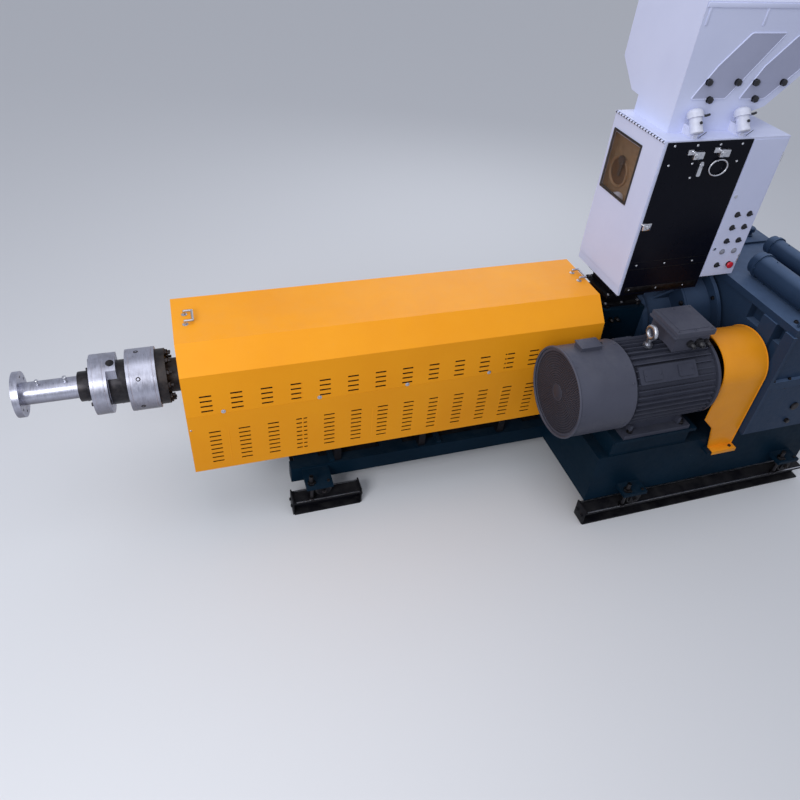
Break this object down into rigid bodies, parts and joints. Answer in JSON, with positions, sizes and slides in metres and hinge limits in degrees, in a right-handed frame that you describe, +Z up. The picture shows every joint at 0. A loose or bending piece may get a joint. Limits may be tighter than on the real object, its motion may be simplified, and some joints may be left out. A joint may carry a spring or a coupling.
{
  "type": "plastic extruder",
  "caption": "Single screw plastic extruder with a vented orange hood, side motor drive, gearbox and gravimetric feeder on a steel base.",
  "frame": {"origin": "middle of the machine's footprint, on the floor", "axes": "+X along the screw from the die end to the drive, +Y away from the motor side, +Z up"},
  "size_m": [4.37, 1.213, 2.565],
  "materials": {
    "teal_paint": "dark teal enamel, semi gloss",
    "black_paint": "black paint, satin",
    "wheel_black": "black wheel",
    "zinc_steel": "zinc plated",
    "barrel_steel": "nitrided steel",
    "heater_mica": "heater band sheet",
    "hood_orange": "yellow orange powder coat",
    "guard_orange": "yellow orange paint",
    "turned_steel": "turned steel, used",
    "motor_grey": "blue grey enamel",
    "grille_grey": "perforated steel, dark",
    "bright_steel": "plated steel",
    "white_paint": "off white powder coat",
    "white_plastic": "white plastic",
    "stainless": "stainless sheet",
    "window_amber": "smoked amber window"
  },
  "bodies": {
    "machine": {"base_frame": "teal_paint", "motor_pedestal": "teal_paint", "beam_rails": "teal_paint", "beam_crossmembers": "teal_paint", "floor_rails": "black_paint", "wheel_brackets": "black_paint", "wheels": "wheel_black", "levelling_studs": "zinc_steel", "barrel": "barrel_steel", "heater_bands": "heater_mica", "barrel_stands": "teal_paint", "feed_throat": "teal_paint", "hood_carrier": "black_paint", "hood_roof": "hood_orange", "hood_upper_near": "hood_orange", "hood_upper_far": "hood_orange", "hood_lower_near": "hood_orange", "hood_lower_far": "hood_orange", "hood_end_front": "hood_orange", "hood_end_rear": "hood_orange", "hood_handles": "zinc_steel", "clamp_ring": "turned_steel", "outer_clamp_ring": "turned_steel", "adapter_pipe": "turned_steel", "gearbox_lower": "teal_paint", "gearbox_upper": "teal_paint", "thrust_lantern": "teal_paint", "input_coupling": "barrel_steel", "coupling_guard": "guard_orange", "motor_body": "motor_grey", "motor_end_shield": "motor_grey", "fan_cowl": "motor_grey", "fan_grille": "grille_grey", "terminal_box": "motor_grey", "terminal_lid": "motor_grey", "lifting_eye": "bright_steel", "oil_cylinders": "teal_paint", "feeder_neck": "black_paint", "feeder_body": "white_paint", "feeder_front_panel": "black_paint", "mixing_chamber": "stainless", "control_box": "white_paint", "valve_cylinders": "white_plastic", "hopper_bins": "white_paint"},
    "door": {"feeder_door": "white_paint", "door_window": "window_amber"}
  },
  "joints": [
    {"name": "feeder_door_hinge", "type": "hinge", "parent": "machine", "child": "door", "pos_m": [0.8487, 0.2165, 1.999], "axis": [0, 1, 0], "range_deg": [0, 90]}
  ]
}
